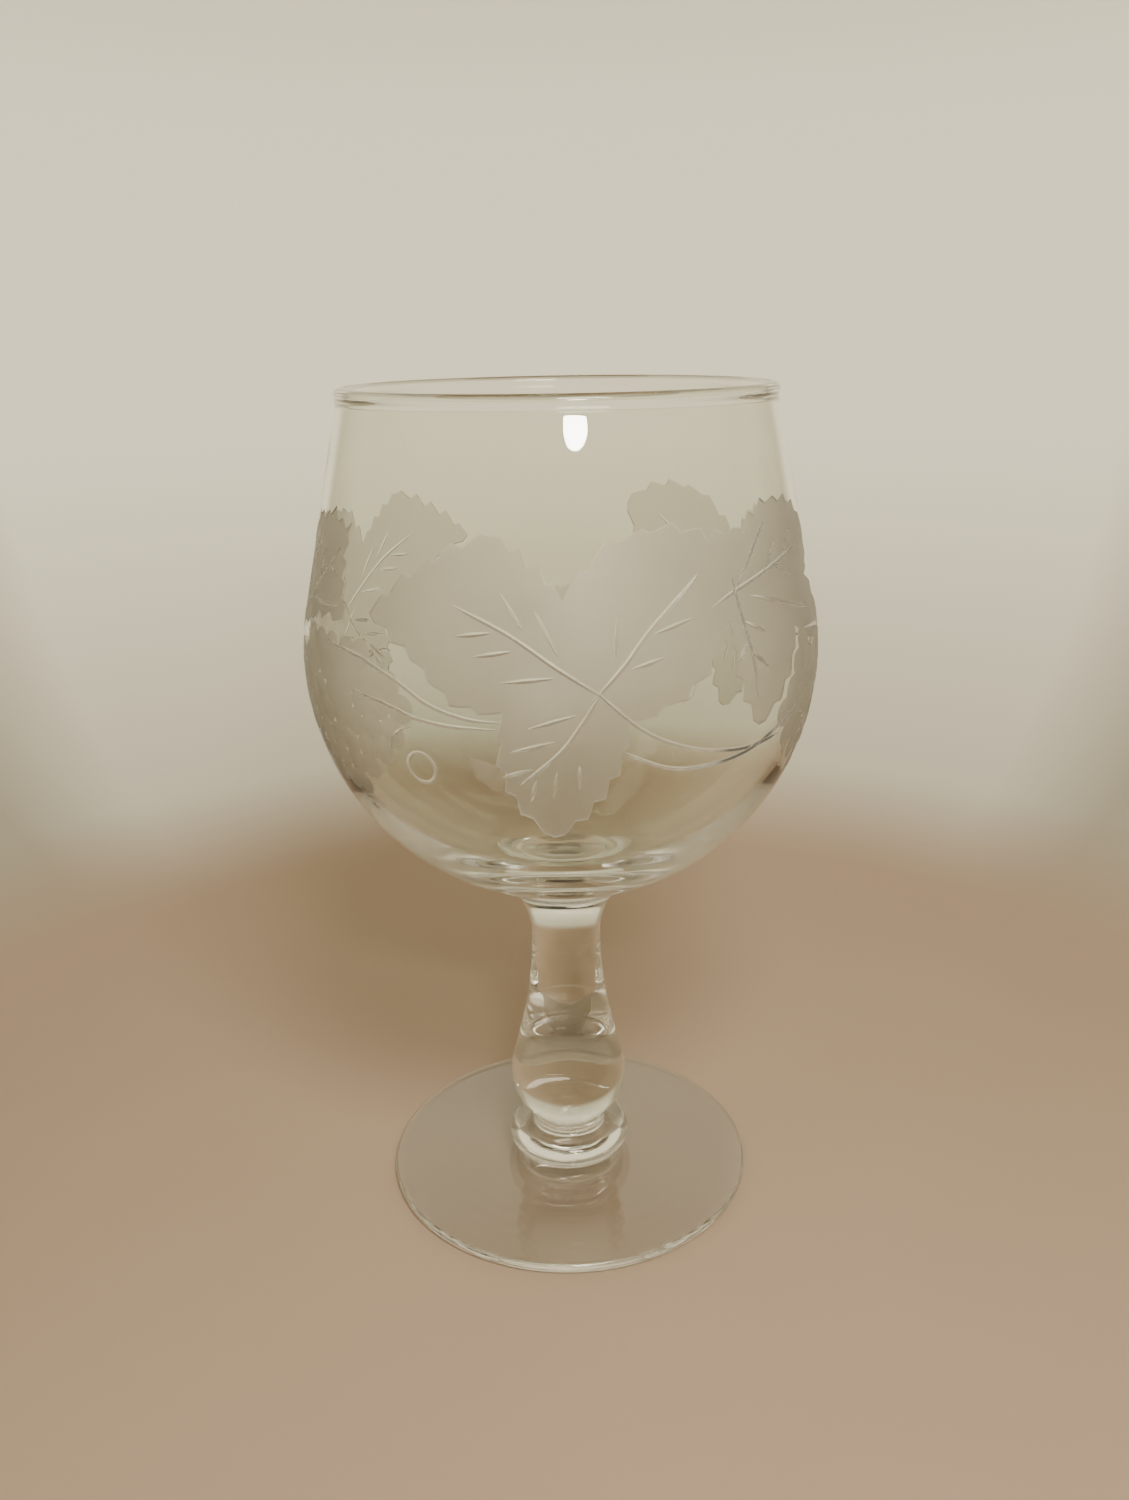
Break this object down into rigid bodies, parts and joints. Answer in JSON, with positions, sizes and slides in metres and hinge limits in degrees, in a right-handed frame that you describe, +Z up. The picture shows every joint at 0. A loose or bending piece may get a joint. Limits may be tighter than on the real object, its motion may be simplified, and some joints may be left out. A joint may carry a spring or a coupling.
{
  "type": "wine goblet",
  "caption": "Short-stemmed wine goblet of clear glass: round tapering bowl with a frosted vine-leaf band, solid baluster stem with a collar, and a thin round foot.",
  "frame": {"origin": "centre of the foot's underside, on the surface that the glass stands on", "axes": "+Z up along the glass's axis of revolution; X and Y are free directions in the foot's plane, with the main leaf of the decoration facing -Y"},
  "size_m": [0.089, 0.089, 0.15],
  "materials": {
    "bowl_glass": "clear blown soda-lime glass with a faint grey-green tint, frosted vine leaves with cut veins round the belly",
    "solid_glass": "clear solid soda-lime glass, fire polished, with a faint grey-green tint"
  },
  "bodies": {
    "root": {"foot": "solid_glass", "collar": "solid_glass", "stem": "solid_glass", "button": "solid_glass", "bowl": "bowl_glass"}
  },
  "joints": []
}
